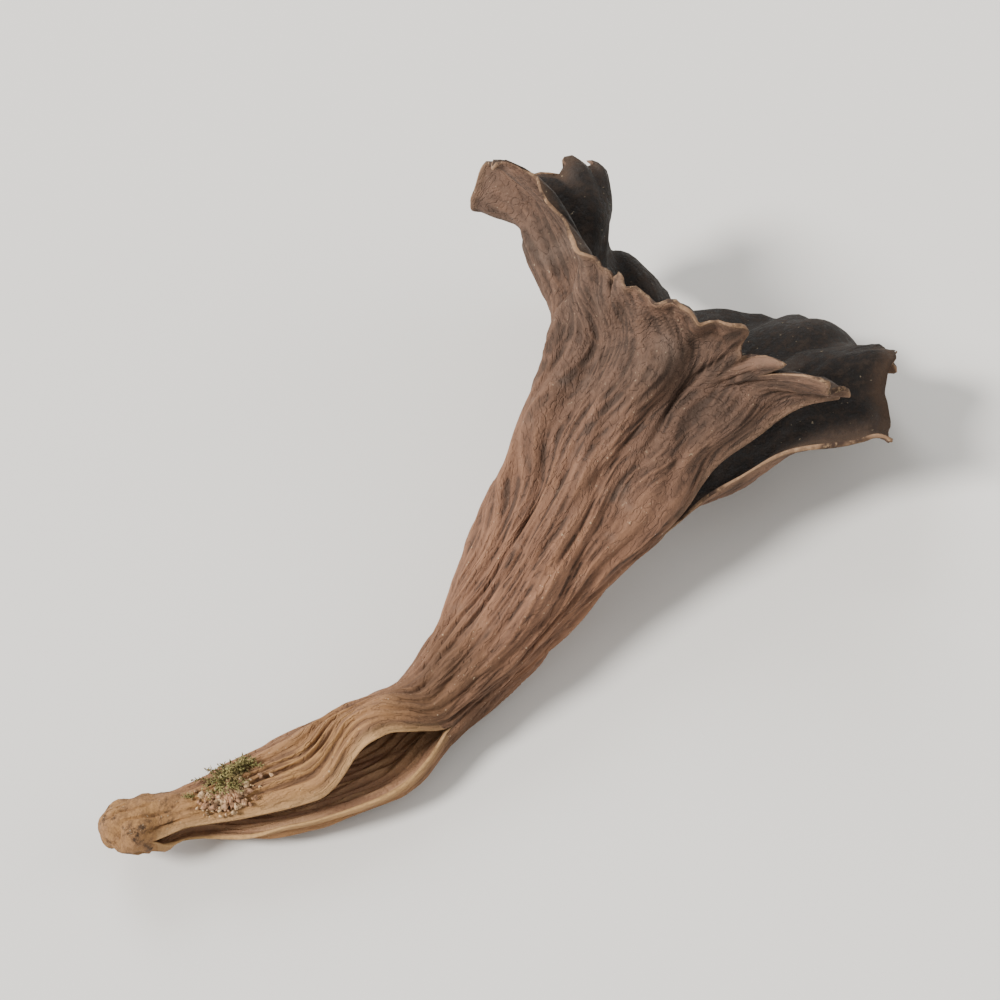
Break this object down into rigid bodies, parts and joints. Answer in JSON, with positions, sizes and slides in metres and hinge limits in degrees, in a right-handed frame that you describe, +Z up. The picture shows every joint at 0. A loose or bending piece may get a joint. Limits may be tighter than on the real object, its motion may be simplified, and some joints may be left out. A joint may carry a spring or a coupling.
{
  "type": "black trumpet mushroom",
  "caption": "Dried hollow trumpet-shaped mushroom lying on its side, with a bent stem split along its length and a torn, waved, rolled lip.",
  "frame": {"origin": "centre of the bounding box in plan, on the surface the mushroom lies on", "axes": "+X along its length from the foot to the mouth, +Z up from the surface it lies on"},
  "size_m": [0.0474, 0.023, 0.0146],
  "materials": {
    "dried_flesh": "matt, dry, wrinkled"
  },
  "bodies": {
    "root": {"mushroom": "dried_flesh"}
  },
  "joints": []
}
